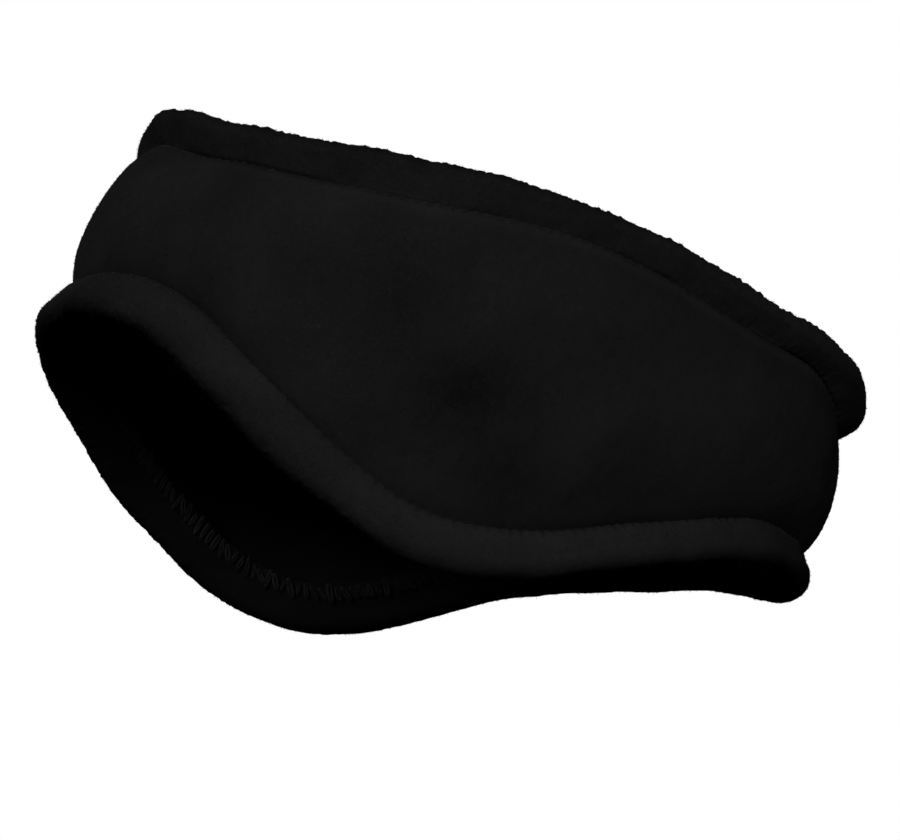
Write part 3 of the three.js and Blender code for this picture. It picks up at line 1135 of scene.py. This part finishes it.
class HEADBAND_OT_hems(bpy.types.Operator):
    """Make the folded hems along the top and bottom edges"""

    bl_idname = "headband.hems"
    bl_label = "Hems"

    def execute(self, context):
        sizes = context.scene.headband_sizes
        cloth = fleece_material("Hem fleece", context.scene.headband_colours.hem, HEM_CLUMP)
        for side, seed in ((TOP, 31), (BOTTOM, 51)):
            grid, shown, tone_and_painted_shading, frayed = hem_grid(side, sizes, seed)
            rough = roughen(grid, shown, frayed, sizes, seed)
            piece = ring_object(f"{side.hem}_cloth", rough, shown, tone_and_painted_shading)
            piece.data.materials.append(cloth)
            declare(piece, side.hem)
        return {"FINISHED"}


class HEADBAND_OT_bar_stitches(bpy.types.Operator):
    """Make the short bars of thread that show outside, along each seam"""

    bl_idname = "headband.bar_stitches"
    bl_label = "Outside stitches"

    def execute(self, context):
        sizes = context.scene.headband_sizes
        tree = bar_stitch_tree()
        colour = context.scene.headband_colours.thread
        thread = thread_material("Black sewing thread", colour, unevenness=0.3)
        for side, cloth, row, distance, rise, seed in BAR_LINES:
            line = cloth_line(cloth, row, -1, distance)
            stitch_line(f"{side.edge}_seam_stitches", line, BAR_LIFT, tree, {
                "Count": stitch_count(side, sizes), "Length": sizes.bar_length, "Rise": rise,
                "Thread Radius": sizes.thread / 2, "Slant": BAR_SLANT, "Seed": seed, "Material": thread})
        return {"FINISHED"}


class HEADBAND_OT_loop_stitches(bpy.types.Operator):
    """Make the bands of loops that cover the seams on the inside"""

    bl_idname = "headband.loop_stitches"
    bl_label = "Inside stitches"

    def execute(self, context):
        sizes = context.scene.headband_sizes
        tree = loop_stitch_tree()
        colour = context.scene.headband_colours.loop_thread
        thread = thread_material("Soft looping thread", colour, unevenness=0.4)
        for side, row, step, seed in LOOP_LINES:
            line = cloth_line(f"{side.hem}_cloth", row, step, LOOP_DISTANCE)
            stitch_line(f"{side.hem}_loops", line, LOOP_LIFT, tree, {
                "Count": round(stitch_count(side, sizes) * LOOP_CROWDING), "Width": sizes.loop_width,
                "Loop Length": LOOP_LENGTH, "Thread Radius": sizes.loop_thread / 2, "Lean": LOOP_LEAN,
                "Slant": LOOP_SLANT, "Seed": seed, "Material": thread})
        return {"FINISHED"}


class HEADBAND_OT_pile(bpy.types.Operator):
    """Make the loose fibres on the faces of the fleece"""

    bl_idname = "headband.pile"
    bl_label = "Pile"

    def execute(self, context):
        sizes = context.scene.headband_sizes
        colours = context.scene.headband_colours
        tree = pile_tree()
        # The fibres' materials are lighter copies of the fleece's, a painted highlight
        panel_fibres = fleece_material("Panel fibres", Vector(colours.panel) * sizes.fibre_painted_highlight, PANEL_CLUMP)
        hem_fibres = fleece_material("Hem fibres", Vector(colours.hem) * sizes.fibre_painted_highlight, HEM_CLUMP)
        for kind, slot, fibres, length, seed in (
                ("panel", "panel_fleece", panel_fibres, sizes.pile_length, 21),
                ("top_hem", "hem_fleece", hem_fibres, sizes.hem_pile_length, 22),
                ("bottom_hem", "hem_fleece", hem_fibres, sizes.hem_pile_length, 23)):
            piece = grow(f"{kind}_pile", made(f"{kind}_cloth"), tree, {
                "Density": sizes.pile_density, "Length": length, "Width": FIBRE_WIDTH,
                "Least Lean": LEAST_LEAN, "Most Lean": MOST_LEAN, "Seed": seed, "Material": fibres})
            declare(piece)
        return {"FINISHED"}


class HEADBAND_PT_panel(bpy.types.Panel):
    """Lists the headband's sizes, colours and steps"""

    bl_idname = "HEADBAND_PT_panel"
    bl_label = "Headband"
    bl_space_type = "VIEW_3D"
    bl_region_type = "UI"
    bl_category = "Headband"

    def draw(self, context):
        layout = self.layout
        for group in (context.scene.headband_sizes, context.scene.headband_colours):
            for name in group.__annotations__:
                layout.prop(group, name)
        for operator in OPERATORS:
            layout.operator(operator.bl_idname)


OPERATORS = (
    HEADBAND_OT_stage,
    HEADBAND_OT_panel,
    HEADBAND_OT_hems,
    HEADBAND_OT_bar_stitches,
    HEADBAND_OT_loop_stitches,
    HEADBAND_OT_pile,
)
CLASSES = (HeadbandSizes, HeadbandColours, *OPERATORS, HEADBAND_PT_panel)


def register():
    for cls in CLASSES:
        bpy.utils.register_class(cls)
    bpy.types.Scene.headband_sizes = bpy.props.PointerProperty(type=HeadbandSizes)
    bpy.types.Scene.headband_colours = bpy.props.PointerProperty(type=HeadbandColours)


def unregister():
    del bpy.types.Scene.headband_colours
    del bpy.types.Scene.headband_sizes
    for cls in reversed(CLASSES):
        bpy.utils.unregister_class(cls)


def main():
    register()
    bpy.ops.headband.stage()
    bpy.ops.headband.panel()
    bpy.ops.headband.hems()
    bpy.ops.headband.bar_stitches()
    bpy.ops.headband.loop_stitches()
    bpy.ops.headband.pile()


if __name__ == "__main__":
    main()
